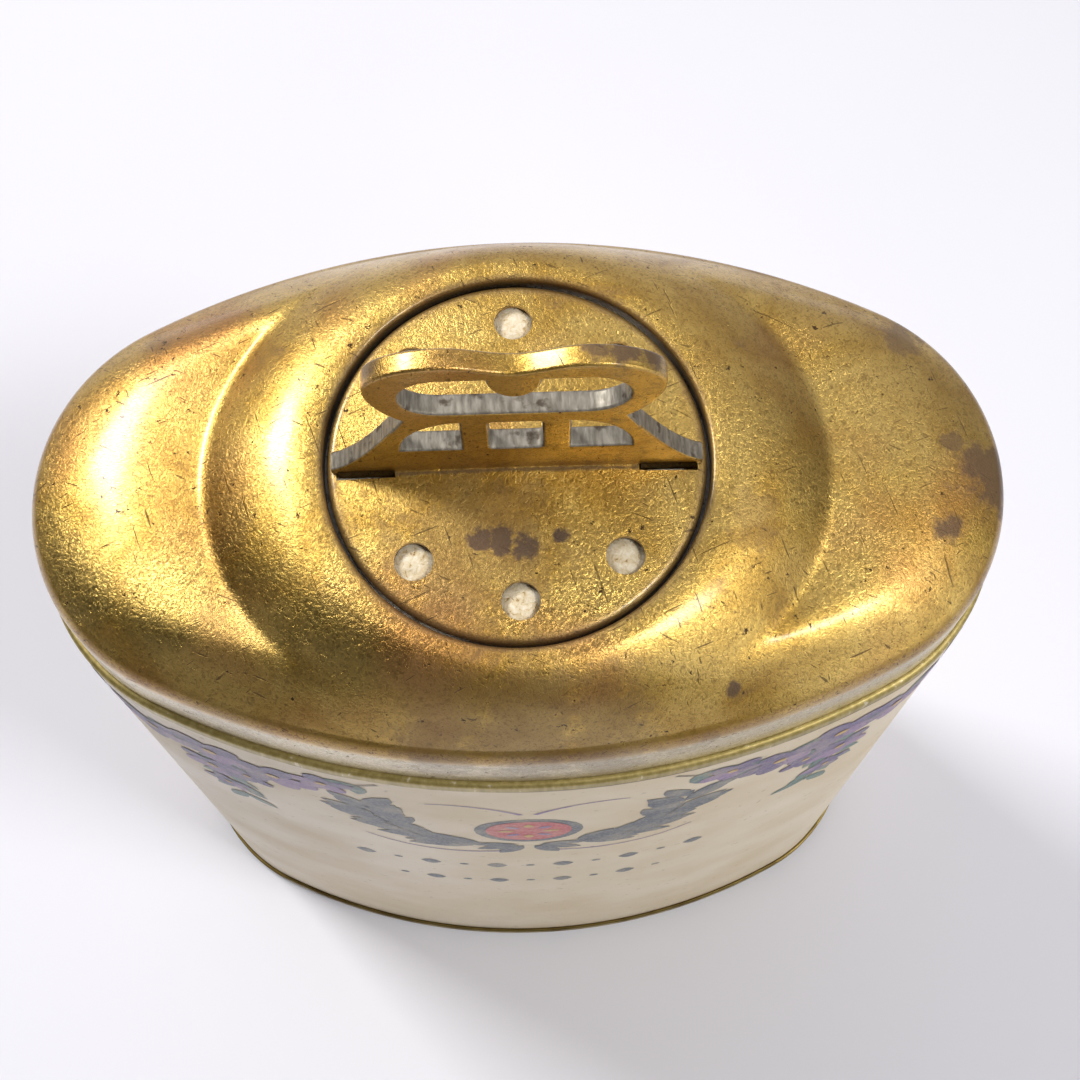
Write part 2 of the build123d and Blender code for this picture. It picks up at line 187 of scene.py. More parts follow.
def printed_tinplate():
    """Ivory lithographed lacquer on tinplate: a soft gloss, yellowed, with fine scuffs to the gilt band."""
    material, place, shader = new_material("printed_tinplate")
    height = node(material, "SeparateXYZ", {0: place}).outputs["Z"]
    clouds = node(material, "TexNoise", {"Vector": place, "Scale": 1 / (14 * MM), "Detail": 4.0})
    freckles = node(material, "TexNoise", {"Vector": place, "Scale": 1 / (0.9 * MM), "Detail": 3.0})
    streaks = node(material, "Mapping", {"Vector": place, "Scale": (1.0, 1.0, 0.12)})
    rubbed = node(
        material, "TexNoise", {"Vector": streaks, "Scale": 1 / (0.45 * MM), "Detail": 2.0}
    )
    ivory = node(
        material, "Mix",
        {"Factor": node(material, "MapRange", {0: clouds, 1: 0.35, 2: 0.65}),
         "A": paint("E8D8BA"), "B": paint("DCC9A4")},
        data_type="RGBA",
    )
    stained = node(
        material, "Mix",
        {"Factor": node(material, "MapRange", {0: freckles, 1: 0.66, 2: 0.74, 4: 0.45}),
         "A": ivory, "B": paint("94764A")},
        data_type="RGBA",
    )
    gilt = node(
        material, "Mix",
        {"Factor": node(material, "MapRange", {0: rubbed, 1: 0.35, 2: 0.65}),
         "A": paint("9C8A4E"), "B": paint("B5A266")},
        data_type="RGBA",
    )
    worn = node(material, "MapRange", {0: rubbed, 1: 0.68, 2: 0.71})
    gilt = node(
        material, "Mix", {"Factor": worn, "A": gilt, "B": paint("CFC4A4")}, data_type="RGBA"
    )
    band_low = (wall_high.z - GILT_BAND) * MM
    band = node(
        material, "MapRange", {0: height, 1: band_low - 0.03 * MM, 2: band_low + 0.03 * MM}
    )
    colour = node(material, "Mix", {"Factor": band, "A": stained, "B": gilt}, data_type="RGBA")
    edge = node(
        material, "Math",
        {0: node(material, "Math", {0: height, 1: -band_low}), 2: 0.0}, operation="ABSOLUTE",
    )
    # Broken dark strokes along the gilt band's lower edge: painted shadow of a step that the flat wall doesn't
    # have, with some dirt gathered in it.
    shade_and_dirt_dashes = node(
        material, "Math",
        {0: node(material, "MapRange", {0: edge, 1: 0.14 * MM, 2: 0.08 * MM}),
         1: node(material, "MapRange", {0: clouds, 1: 0.5, 2: 0.56})},
        operation="MULTIPLY",
    )
    colour = node(
        material, "Mix", {"Factor": shade_and_dirt_dashes, "A": colour, "B": paint("4A3A22")}, data_type="RGBA"
    )
    material.node_tree.links.new(colour.outputs[2], shader.inputs["Base Color"])
    metal = node(material, "MapRange", {0: band, 4: 0.55})
    material.node_tree.links.new(metal.outputs[0], shader.inputs["Metallic"])
    gloss = node(material, "MapRange", {0: clouds, 1: 0.3, 2: 0.7, 3: 0.34, 4: 0.5})
    material.node_tree.links.new(gloss.outputs[0], shader.inputs["Roughness"])
    wavy = node(material, "Bump", {"Strength": 0.35, "Distance": 0.2 * MM, "Height": clouds})
    peel = node(
        material, "Bump",
        {"Strength": 0.25, "Distance": 0.02 * MM, "Height": freckles, "Normal": wavy},
    )
    material.node_tree.links.new(peel.outputs[0], shader.inputs["Normal"])
    return material


def bare_tinplate():
    """Tinned steel without lacquer: dull grey, with rolling streaks and a few rust freckles."""
    material, place, shader = new_material("bare_tinplate")
    stretched = node(material, "Mapping", {"Vector": place, "Scale": (0.15, 1.0, 1.0)})
    rolled = node(
        material, "TexNoise", {"Vector": stretched, "Scale": 1 / (0.5 * MM), "Detail": 4.0}
    )
    blooms = node(material, "TexNoise", {"Vector": place, "Scale": 1 / (4 * MM), "Detail": 5.0})
    tin = node(
        material, "Mix", {"Factor": rolled, "A": paint("8F8C84"), "B": paint("C4C0B6")},
        data_type="RGBA",
    )
    rust = node(material, "MapRange", {0: blooms, 1: 0.66, 2: 0.74, 4: 0.7})
    colour = node(
        material, "Mix", {"Factor": rust, "A": tin, "B": paint("6B4A30")}, data_type="RGBA"
    )
    material.node_tree.links.new(colour.outputs[2], shader.inputs["Base Color"])
    metal = node(material, "MapRange", {0: rust, 3: 0.9, 4: 0.2})
    material.node_tree.links.new(metal.outputs[0], shader.inputs["Metallic"])
    gloss = node(material, "MapRange", {0: blooms, 1: 0.3, 2: 0.7, 3: 0.38, 4: 0.6})
    material.node_tree.links.new(gloss.outputs[0], shader.inputs["Roughness"])
    grain = node(material, "Bump", {"Strength": 0.4, "Distance": 0.015 * MM, "Height": rolled})
    material.node_tree.links.new(grain.outputs[0], shader.inputs["Normal"])
    return material


tin_printed = printed_tinplate()
tin_bare = bare_tinplate()

wall_mesh = spun(
    rounded(
        [
            (HALF_WIDTH + WALL_PROUD, wall_low.z),
            (HALF_WIDTH + WALL_PROUD, wall_high.z),
            (HALF_WIDTH + LEDGE_PROUD, wall_high.z),
        ],
        LEDGE_ROUNDING,
    ),
    draw_oval,
)
seam_cuts = [((x, 0, 0), (1, 0, 0)) for x in (-SEAM_HALF_WIDTH, SEAM_HALF_WIDTH)]
seam_cuts += [((x, 0, 0), (1, 0, 0)) for x in (SEAM_RAMP - SEAM_HALF_WIDTH, SEAM_HALF_WIDTH - SEAM_RAMP)]
seam_cuts += [((0, 0, z), (0, 0, 1)) for z in (SEAM_FOOT, SEAM_FOOT + SEAM_RAMP)]
for spot, direction in seam_cuts:
    back = [face for face in wall_mesh.faces if face.calc_center_median().y > HALF_DEPTH - 1]
    around = {part for face in back for part in (face, *face.verts, *face.edges)}
    bmesh.ops.bisect_plane(
        wall_mesh, geom=list(around), dist=0.0001, plane_co=spot, plane_no=direction
    )
for vertex in wall_mesh.verts:
    near_seam = abs(vertex.co.x) < SEAM_HALF_WIDTH - SEAM_RAMP / 2 and vertex.co.y > 0
    if near_seam and SEAM_FOOT + SEAM_RAMP / 2 < vertex.co.z < wall_high.z - LEDGE_ROUNDING / 2:
        vertex.co.y += SEAM_PROUD
wall = make_piece(wall_mesh, "wall_sheet", [tin_printed, tin_bare], TIN_SHEET, crisp=60)
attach(wall, "tin")
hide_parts("body_wall")


# ---- Printed ornament ----
# Inks laid on the ivory lacquer before the wall was bent: a violet spray hangs from the band at
# each corner, and a red rosette between two laurel sprigs sits at the front over rows of dots.

INK_LIFT = 0.02                # each ink stands a little over the one below, so that none is lost
INK_DEPTH = 0.05
SIDE_RADIUS_LIFT = WALL_PROUD

straight_run = HALF_WIDTH - LID_END_RADIUS
side_radius = (straight_run**2 + HALF_DEPTH**2 - LID_END_RADIUS**2) / (2 * (HALF_DEPTH - LID_END_RADIUS))
side_turn = math.pi / 2 - math.atan2(side_radius - HALF_DEPTH, straight_run)
side_run = side_turn * (side_radius + WALL_PROUD)
end_run = (math.pi - 2 * side_turn) * (LID_END_RADIUS + WALL_PROUD)
half_round = 2 * side_run + end_run

INKS = {"slate": "46525E", "red": "C2404A", "violet": "54457A", "mauve": "8A6C98",
        "leaf": "47706A", "stem": "6E5A3C", "yolk": "C9A24A"}


def wall_angle(along):
    """The direction of the wall's normal at a distance along it from the middle of the front."""
    reach = abs(along)
    turn = reach / (side_radius + WALL_PROUD)
    if reach > side_run:
        turn = side_turn + (reach - side_run) / (LID_END_RADIUS + WALL_PROUD)
    if reach > side_run + end_run:
        turn = math.pi - (half_round - reach) / (side_radius + WALL_PROUD)
    return math.copysign(turn, along) - math.pi / 2


def blot(prints, ink, centre, size, turn=0.0, pointed=0.0, layer=1, sides=12):
    """One printed shape, drawn flat: x runs along the wall, z up it and y off it."""
    made = bmesh.ops.create_circle(prints, cap_ends=True, cap_tris=True, segments=sides, radius=1.0)
    place = Matrix.Rotation(-turn, 4, "Y")
    for vertex in made["verts"]:
        x, y = vertex.co.x, vertex.co.y
        thin = (1 - x * x) ** (pointed / 2) if abs(x) < 1 else 0.0 if pointed else 1.0
        flat = place @ Vector((x * size[0] / 2, 0, y * thin * size[1] / 2))
        vertex.co = flat + Vector((centre[0], layer * INK_LIFT, centre[1]))
    for face in {face for vertex in made["verts"] for face in vertex.link_faces}:
        face.material_index = list(INKS).index(ink)


def stroke(prints, ink, start, bow, end, width, layer=1):
    """A thin printed line bowed towards a point, tapering to its end. Returns its points."""
    steps = 14
    made = bmesh.ops.create_grid(prints, x_segments=steps, y_segments=1, size=0.5)
    start, bow, end = Vector(start), Vector(bow), Vector(end)
    for vertex in made["verts"]:
        share = vertex.co.x + 0.5
        spot = start.lerp(bow, share).lerp(bow.lerp(end, share), share)
        side = (bow.lerp(end, share) - start.lerp(bow, share)).normalized().orthogonal()
        spot = spot + side * vertex.co.y * width * (1 - 0.6 * share)
        vertex.co = (spot.x, layer * INK_LIFT, spot.y)
    for face in {face for vertex in made["verts"] for face in vertex.link_faces}:
        face.material_index = list(INKS).index(ink)
    shares = [step / steps for step in range(steps + 1)]
    return [start.lerp(bow, s).lerp(bow.lerp(end, s), s) for s in shares]


def violet(prints, chance, centre, size):
    """A violet: two upper and three lower petals about a yellow throat."""
    tilt = chance.uniform(-0.5, 0.5)
    for petal, turn in enumerate((0.9, 2.2, 3.7, 4.7, 5.7)):
        turn += tilt
        out = Vector((math.cos(turn), math.sin(turn))) * size * 0.32
        ink = "violet" if petal < 2 or chance.random() < 0.5 else "mauve"
        blot(prints, ink, Vector(centre) + out, (size * 0.62, size * 0.44), turn, layer=3)
    blot(prints, "yolk", centre, (size * 0.2, size * 0.2), layer=5, sides=8)


def leafy(prints, chance, line, ink, size, every=2):
    """Leaves in pairs along a stem."""
    for step in range(1, len(line) - 1, every):
        heading = line[step + 1] - line[step - 1]
        turn = math.atan2(heading.y, heading.x)
        for side in (-1, 1):
            lean = turn + side * chance.uniform(0.5, 0.9)
            length = size * chance.uniform(0.8, 1.15)
            middle = line[step] + Vector((math.cos(lean), math.sin(lean))) * length * 0.5
            blot(prints, ink, middle, (length, length * 0.42), lean, pointed=1.0, layer=2)


def spray(prints, chance, side, from_back):
    """A spray of violets hung from the band, on one side of the front or of the back."""
    def put(x, z):
        along = half_round - x if from_back else x
        return Vector((side * along, z))
    hang = wall_high.z - GILT_BAND
    garland = stroke(prints, "stem", put(12, hang - 1), put(24, hang - 14), put(40, hang - 3), 0.5)
    leafy(prints, chance, garland, "leaf", 4.6)
    drop = stroke(prints, "stem", put(25, hang - 8), put(29, hang - 16), put(26, hang - 26), 0.5)
    leafy(prints, chance, drop, "leaf", 4.0)
    for x, down, size in ((17, 5, 5.0), (21.5, 8, 6.4), (27, 7, 7.0), (32.5, 7.5, 6.2), (28, 14.5, 5.6),
                          (24.5, 13, 4.4), (27.5, 21, 4.2), (37, 5, 4.8)):
        violet(prints, chance, put(x, hang - down), size)


def printed_ink(name, colour):
    """Lithographic ink: thin, slightly mottled by the halftone and rubbed along the sheet."""
    material, place, shader = new_material("ink_" + name)
    dots = node(material, "TexNoise", {"Vector": place, "Scale": 1 / (0.3 * MM), "Detail": 2.0})
    rubbed = node(material, "TexNoise", {"Vector": place, "Scale": 1 / (3 * MM), "Detail": 4.0})
    faded = node(
        material, "Mix",
        {"Factor": node(material, "MapRange", {0: rubbed, 1: 0.45, 2: 0.75, 4: 0.4}),
         "A": paint(colour), "B": paint("D8C7A6")},
        data_type="RGBA",
    )
    toned = node(
        material, "Mix",
        {"Factor": node(material, "MapRange", {0: dots, 1: 0.4, 2: 0.7, 4: 0.25}),
         "A": faded, "B": paint("E9D9BB")},
        data_type="RGBA",
    )
    material.node_tree.links.new(toned.outputs[2], shader.inputs["Base Color"])
    shader.inputs["Roughness"].default_value = 0.42
    film = node(material, "Bump", {"Strength": 0.2, "Distance": 0.01 * MM, "Height": dots})
    material.node_tree.links.new(film.outputs[0], shader.inputs["Normal"])
    return material


prints = bmesh.new()
chance = random.Random(7)
for side in (-1, 1):
    for from_back in (False, True):
        spray(prints, chance, side, from_back)

ROSETTE_HEIGHT = 73.0
blot(prints, "slate", (0, ROSETTE_HEIGHT), (9.6, 11.6), layer=1, sides=24)
blot(prints, "red", (0, ROSETTE_HEIGHT), (7.6, 9.4), layer=2, sides=24)
for petal in range(8):
    turn = petal * math.tau / 8
    out = Vector((math.cos(turn) * 2.0, math.sin(turn) * 2.6 + ROSETTE_HEIGHT))
    blot(prints, "mauve" if petal % 2 else "yolk", out, (1.6, 0.9), turn, pointed=1.0, layer=3)
for side in (-1, 1):
    sprig = stroke(prints, "slate", (side * 3, 66), (side * 13, 66), (side * 14, 82), 0.7)
    leafy(prints, chance, sprig, "slate", 5.4, every=1)
    stroke(prints, "mauve", (side * 2.5, 62), (side * 10, 59.5), (side * 15, 65), 0.5)
    stroke(prints, "mauve", (side * 0.6, 81), (side * 4, 86), (side * 8.5, 84.5), 0.5)
    for leaf in range(3):
        lean = math.pi / 2 + side * (0.5 + 0.5 * leaf)
        middle = Vector((math.cos(lean), -math.sin(lean))) * 3.4 + Vector((0, 66))
        blot(prints, "slate", middle, (4.6, 1.9), -lean, pointed=1.0, layer=2)
for row, (height, count) in enumerate(((53.0, 11), (43.0, 9))):
    for place in range(count):
        across = (place - (count - 1) / 2) * 3.2
        size = (2.0, 2.6) if place % 2 == row % 2 else (0.9, 0.9)
        blot(prints, "slate", (across, height), size, pointed=1.0 if place % 2 == row % 2 else 0.0)

bmesh.ops.subdivide_edges(prints, edges=prints.edges, cuts=1, use_grid_fill=True)
for vertex in prints.verts:
    along, lift, height = vertex.co
    flat = lid_oval(wall_angle(along), WALL_PROUD + lift)
    vertex.co = (flat.x, flat.y, height)
ornament = make_piece(prints, "printed_ornament", [printed_ink(*ink) for ink in INKS.items()])
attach(ornament, "tin")


# ---- Base pan ----
# Olive gold lacquered tinplate: a sunk floor pressed up into the wall, with its edge turned out,
# down and up again round the wall's lower edge as a crimped rim that the tin stands on.

RIM_PROUD = 0.93
RIM_ROUNDING = 0.45
FOOT_PROUD = -0.18
FLOOR_EDGE = -3.0

pan_low, pan_high = (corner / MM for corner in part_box("base_pan"))
floor_underside = pan_high.z - TIN_SHEET


def gilt_tinplate():
    """Gold lacquer over tinplate: olive, satin, rubbed to grey tin where it stands."""
    material, place, shader = new_material("gilt_tinplate")
    height = node(material, "SeparateXYZ", {0: place}).outputs["Z"]
    patches = node(material, "TexNoise", {"Vector": place, "Scale": 1 / (3 * MM), "Detail": 5.0})
    fine = node(material, "TexNoise", {"Vector": place, "Scale": 1 / (0.35 * MM), "Detail": 3.0})
    gold = node(
        material, "Mix",
        {"Factor": node(material, "MapRange", {0: patches, 1: 0.35, 2: 0.65}),
         "A": paint("A08B4E"), "B": paint("7A6536")},
        data_type="RGBA",
    )
    rubbed = node(
        material, "Math",
        {0: node(material, "MapRange", {0: height, 1: 0.5 * MM, 2: 0.0}),
         1: node(material, "MapRange", {0: fine, 1: 0.4, 2: 0.6})},
        operation="MULTIPLY",
    )
    colour = node(
        material, "Mix", {"Factor": rubbed, "A": gold, "B": paint("A8A49A")}, data_type="RGBA"
    )
    pits = node(material, "MapRange", {0: fine, 1: 0.68, 2: 0.74, 4: 0.8})
    colour = node(
        material, "Mix", {"Factor": pits, "A": colour, "B": paint("3E2E1C")}, data_type="RGBA"
    )
    material.node_tree.links.new(colour.outputs[2], shader.inputs["Base Color"])
    metal = node(material, "MapRange", {0: pits, 3: 0.8, 4: 0.2})
    material.node_tree.links.new(metal.outputs[0], shader.inputs["Metallic"])
    gloss = node(material, "MapRange", {0: patches, 1: 0.3, 2: 0.7, 3: 0.34, 4: 0.55})
    material.node_tree.links.new(gloss.outputs[0], shader.inputs["Roughness"])
    grain = node(material, "Bump", {"Strength": 0.4, "Distance": 0.02 * MM, "Height": fine})
    material.node_tree.links.new(grain.outputs[0], shader.inputs["Normal"])
    return material


pan_mesh = spun(
    rounded(
        [
            (HALF_WIDTH + RIM_PROUD, SEAM_FOOT - 0.2),
            (HALF_WIDTH + RIM_PROUD, pan_low.z),
            (HALF_WIDTH + FOOT_PROUD, pan_low.z),
            (HALF_WIDTH + FOOT_PROUD, floor_underside),
            (HALF_WIDTH + FLOOR_EDGE, floor_underside),
        ],
        RIM_ROUNDING,
    ),
    draw_oval,
)
inner_edge = [
    edge for edge in pan_mesh.edges
    if edge.is_boundary and edge.verts[0].co.z > floor_underside - 0.01
    and edge.verts[0].co.xy.length < lid_oval(math.atan2(*edge.verts[0].co.yx), -1).length
]
bmesh.ops.edgeloop_fill(pan_mesh, edges=inner_edge)
pan = make_piece(pan_mesh, "base_rim_and_floor", [gilt_tinplate(), tin_bare], TIN_SHEET, crisp=60)
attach(pan, "tin")
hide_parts("base_pan")


# ---- Neck ring ----
# Bare tinplate ring soldered inside the wall's top and stepped in, so that the lid slips over it.

NECK_PROUD = -0.55
NECK_TAIL_PROUD = 0.17
NECK_ROUNDING = 0.3

neck_low, neck_high = (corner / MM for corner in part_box("neck_ring"))
step_height = wall_high.z - TIN_SHEET - 0.03

neck_mesh = spun(
    rounded(
        [
            (HALF_WIDTH + NECK_TAIL_PROUD, neck_low.z),
            (HALF_WIDTH + NECK_TAIL_PROUD, step_height),
            (HALF_WIDTH + NECK_PROUD, step_height),
            (HALF_WIDTH + NECK_PROUD, neck_high.z),
        ],
        NECK_ROUNDING,
    ),
    draw_oval,
)
neck = make_piece(neck_mesh, "neck_sheet", [tin_bare], TIN_SHEET, crisp=60)
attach(neck, "tin")
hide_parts("neck_ring")


# ---- Lid ----
# One stamping of brass sheet: a straight skirt, a rounded shoulder, a lower pillow at each end, a
# second pillow above a soft crease, and a flat rim from which the round well is drawn down.

BRASS_SHEET = 0.4
SKIRT_HEIGHT = 6.0
SHOULDER_RISE = 2.0            # half axes of the shoulder's elliptical turn
SHOULDER_REACH = 1.2
SHOULDER_TURN = math.radians(67.8)
CREASE_HALF_WIDTH = 24.55
CREASE_HALF_DEPTH = 20.1
CREASE_END_RADIUS = 17.6
CREASE_RISE = 4.86
COVE = 1.2                     # run over which the crease turns up into the upper pillow
COVE_SLOPE = 0.85
RIM_RADIUS = 15.9
RIM_RISE = 8.75
RIM_ROUNDING = 0.35
WELL_RADIUS = 14.5
BULGE = 0.8                    # how round the single slope at the front and back is
WAVE_LENGTH = 7.0              # the stamping isn't dead true: shallow waves, this far apart
WAVE_HEIGHT = 0.07

skirt_top = lid_low.z + SKIRT_HEIGHT
rim_top = skirt_top + RIM_RISE
shoulder_inset = SHOULDER_REACH * (1 - math.cos(SHOULDER_TURN))
shoulder_end = SHOULDER_RISE * math.sin(SHOULDER_TURN)
shoulder_slope = SHOULDER_RISE / SHOULDER_REACH / math.tan(SHOULDER_TURN)


def eased(share, low, high, low_slope, high_slope, run):
    """Height at a share of a run between two heights, leaving and meeting them at two slopes."""
    square, cube = share**2, share**3
    ends = low * (2 * cube - 3 * square + 1) + high * (3 * square - 2 * cube)
    return ends + run * (low_slope * (cube - 2 * square + share) + high_slope * (cube - square))


def lid_section():
    """The lid's section at its end, as (distance from the middle, height) from the skirt to the well."""
    path = [(HALF_WIDTH, lid_low.z), (HALF_WIDTH, lid_low.z + 0.3), (HALF_WIDTH, skirt_top - 0.3)]
    for step in range(9):
        turn = SHOULDER_TURN * step / 8
        inset = SHOULDER_REACH * (1 - math.cos(turn))
        path.append((HALF_WIDTH - inset, skirt_top + SHOULDER_RISE * math.sin(turn)))
    start, run = HALF_WIDTH - shoulder_inset, HALF_WIDTH - shoulder_inset - CREASE_HALF_WIDTH
    for step in range(1, 21):
        share = step / 20
        rise = eased(share, shoulder_end, CREASE_RISE, shoulder_slope, 0.0, run)
        path.append((start - run * share, skirt_top + rise))
    for step in range(1, 5):
        run = COVE * step / 4
        path.append((CREASE_HALF_WIDTH - run, path[-1][1] + COVE_SLOPE * (2 * step - 1) * COVE / 32))
    cove_rise = path[-1][1] - skirt_top
    start, run = CREASE_HALF_WIDTH - COVE, CREASE_HALF_WIDTH - COVE - RIM_RADIUS
    for step in range(1, 17):
        share = step / 16
        rise = eased(share, cove_rise, RIM_RISE, COVE_SLOPE, 0.08, run)
        path.append((start - run * share, skirt_top + rise))
    well = [(RIM_RADIUS, rim_top), (WELL_RADIUS, rim_top), (WELL_RADIUS, well_bottom)]
    return path + rounded(well, RIM_ROUNDING)[1:]


def lid_inset(flat):
    """How far a point lies inside the lid's outline."""
    spot = Vector((abs(flat.x), abs(flat.y)))
    from_side = spot + Vector((0, side_radius - HALF_DEPTH))
    if from_side.y * straight_run > from_side.x * (side_radius - HALF_DEPTH):
        return side_radius - from_side.length
    return LID_END_RADIUS - (spot - Vector((straight_run, 0))).length


def press_lid(point):
    """Carries a point of the round lid to the oval one, whose crease fades out at the front and back."""
    angle = math.atan2(point.y, point.x)
    reach = point.xy.length
    shoulder = lid_oval(angle, -shoulder_inset)
    crease = oval_point(angle, CREASE_HALF_WIDTH, CREASE_HALF_DEPTH, CREASE_END_RADIUS)
    rim = Vector((math.cos(angle), math.sin(angle))) * RIM_RADIUS
    shoulder_x = HALF_WIDTH - shoulder_inset
    if reach >= shoulder_x:
        flat = lid_oval(angle, reach - HALF_WIDTH)
        return Vector((flat.x, flat.y, point.z))
    if reach <= RIM_RADIUS:
        return point
    if reach > CREASE_HALF_WIDTH:
        flat = crease.lerp(shoulder, (reach - CREASE_HALF_WIDTH) / (shoulder_x - CREASE_HALF_WIDTH))
    else:
        flat = rim.lerp(crease, (reach - RIM_RADIUS) / (CREASE_HALF_WIDTH - RIM_RADIUS))
    inset = lid_inset(flat) - shoulder_inset
    share = inset / (inset + flat.length - RIM_RADIUS)
    bulge = 1 - (1 - share) ** 2
    plain = shoulder_end + (RIM_RISE - shoulder_end) * (BULGE * bulge + (1 - BULGE) * share)
    crossed = min(max((abs(math.cos(angle)) - 0.45) / 0.45, 0), 1)
    tiered = crossed * crossed * (3 - 2 * crossed)
    height = plain * (1 - tiered) + (point.z - skirt_top) * tiered
    wave = noise.noise(Vector((flat.x, flat.y, 0)) / WAVE_LENGTH) * WAVE_HEIGHT
    return Vector((flat.x, flat.y, skirt_top + height + wave * math.sin(math.pi * share)))


def aged_brass(name, stains_and_shades, dirt_and_shade_ring, skirt=None, foot_line=None):
    """Stamped brass under clear lacquer: satin, finely pebbled, scratched, browned in places, and darkened
    elsewhere by painted shade.

    Each spot is (x, y, radius, strength): brown stains, and on the lid also broad faint patches of
    painted shade. The ring is (radius, width) of a dark ring of dirt and painted shade round the gap
    between the disc and the well. The line is (y, half length) of a dark line on the disc along the
    front of the key's foot. All are in millimetres.
    """
    material, place, shader = new_material(name)
    pebbles = node(
        material, "TexNoise",
        {"Vector": place, "Scale": 1 / (0.32 * MM), "Detail": 4.0, "Roughness": 0.62, "Distortion": 1.4},
    )
    tarnish = node(
        material, "TexNoise",
        {"Vector": place, "Scale": 1 / (7 * MM), "Detail": 6.0, "Roughness": 0.6, "Distortion": 0.6},
    )
    blush = node(material, "TexNoise", {"Vector": place, "Scale": 1 / (16 * MM), "Detail": 2.0})
    colour = node(
        material, "Mix",
        {"Factor": node(material, "MapRange", {0: tarnish, 1: 0.38, 2: 0.66}),
         "A": paint("E0BC66"), "B": paint("B8913F")},
        data_type="RGBA",
    )
    colour = node(
        material, "Mix",
        {"Factor": node(material, "MapRange", {0: blush, 1: 0.52, 2: 0.68, 4: 0.6}),
         "A": colour, "B": paint("B97B4A")},
        data_type="RGBA",
    )
    colour = node(
        material, "Mix",
        {"Factor": node(material, "MapRange", {0: pebbles, 1: 0.52, 2: 0.36, 4: 0.6}),
         "A": colour, "B": paint("7D5F28")},
        data_type="RGBA",
    )
    if skirt:
        # Below the skirt's top the brass is painted paler: rubbed wear, together with a painted reflection of
        # the pale table in front.
        height = node(material, "SeparateXYZ", {0: place}).outputs["Z"]
        rubbed = node(material, "MapRange", {0: height, 1: skirt + 0.5 * MM, 2: skirt - 0.5 * MM})
        pale = node(
            material, "Mix",
            {"Factor": node(material, "MapRange", {0: pebbles, 1: 0.35, 2: 0.6}),
             "A": paint("B09A68"), "B": paint("DCCFAE")},
            data_type="RGBA",
        )
        colour = node(material, "Mix", {"Factor": rubbed, "A": colour, "B": pale}, data_type="RGBA")
        # Painted shade: a patchy dark band along the bend of the shoulder just above the skirt, where the steep
        # brass takes a dark reflection of the room.
        above = node(material, "Math", {0: height, 1: -skirt - 1.1 * MM})
        bend = node(material, "Math", {0: above, 1: 0.0}, operation="ABSOLUTE")
        bend = node(material, "MapRange", {0: bend, 1: 0.9 * MM, 2: 0.2 * MM, 4: 1.0})
        patchy = node(material, "MapRange", {0: pebbles, 1: 0.42, 2: 0.58, 4: 0.75})
        shoulder_shade = node(material, "Math", {0: bend, 1: patchy}, operation="MULTIPLY")
        colour = node(
            material, "Mix", {"Factor": shoulder_shade, "A": colour, "B": paint("6A4322")}, data_type="RGBA"
        )
    stain_and_shade = node(material, "MapRange", {0: tarnish, 1: 0.64, 2: 0.74, 4: 0.55})
    ragged = node(
        material, "TexNoise", {"Vector": place, "Scale": 1 / (1.6 * MM), "Detail": 5.0, "Roughness": 0.7}
    )
    level = node(material, "VectorMath", {0: place, 1: (1, 1, 0)}, operation="MULTIPLY")
    reach = node(material, "VectorMath", {0: level}, operation="LENGTH").outputs["Value"]
    # The ring: a dark ring round the gap between the disc and the well, dirt together with painted shade of the
    # gap.
    ringed = node(material, "Math", {0: reach, 1: -dirt_and_shade_ring[0] * MM})
    ringed = node(material, "Math", {0: ringed, 1: 0.0}, operation="ABSOLUTE")
    ringed = node(material, "Math", {0: ragged, 1: 0.9 * dirt_and_shade_ring[1] * MM, 2: ringed}, operation="MULTIPLY_ADD")
    ring = node(material, "MapRange", {0: ringed, 1: 1.2 * dirt_and_shade_ring[1] * MM, 2: 0.5 * dirt_and_shade_ring[1] * MM, 4: 0.75})
    stain_and_shade = node(material, "Math", {0: stain_and_shade, 1: ring}, operation="MAXIMUM")
    # A ragged dark line on the disc along the front of the key's foot.
    if foot_line:
        across = node(material, "SeparateXYZ", {0: place})
        off = node(material, "Math", {0: across.outputs["Y"], 1: -foot_line[0] * MM})
        off = node(material, "Math", {0: off, 1: 0.0}, operation="ABSOLUTE")
        off = node(material, "Math", {0: ragged, 1: 0.8 * MM, 2: off}, operation="MULTIPLY_ADD")
        line = node(material, "MapRange", {0: off, 1: 0.7 * MM, 2: 0.45 * MM, 4: 0.8})
        length = node(material, "Math", {0: across.outputs["X"], 1: 0.0}, operation="ABSOLUTE")
        length = node(
            material, "Math", {0: length, 1: foot_line[1] * MM}, operation="LESS_THAN"
        )
        line = node(material, "Math", {0: line, 1: length}, operation="MULTIPLY")
        stain_and_shade = node(material, "Math", {0: stain_and_shade, 1: line}, operation="MAXIMUM")
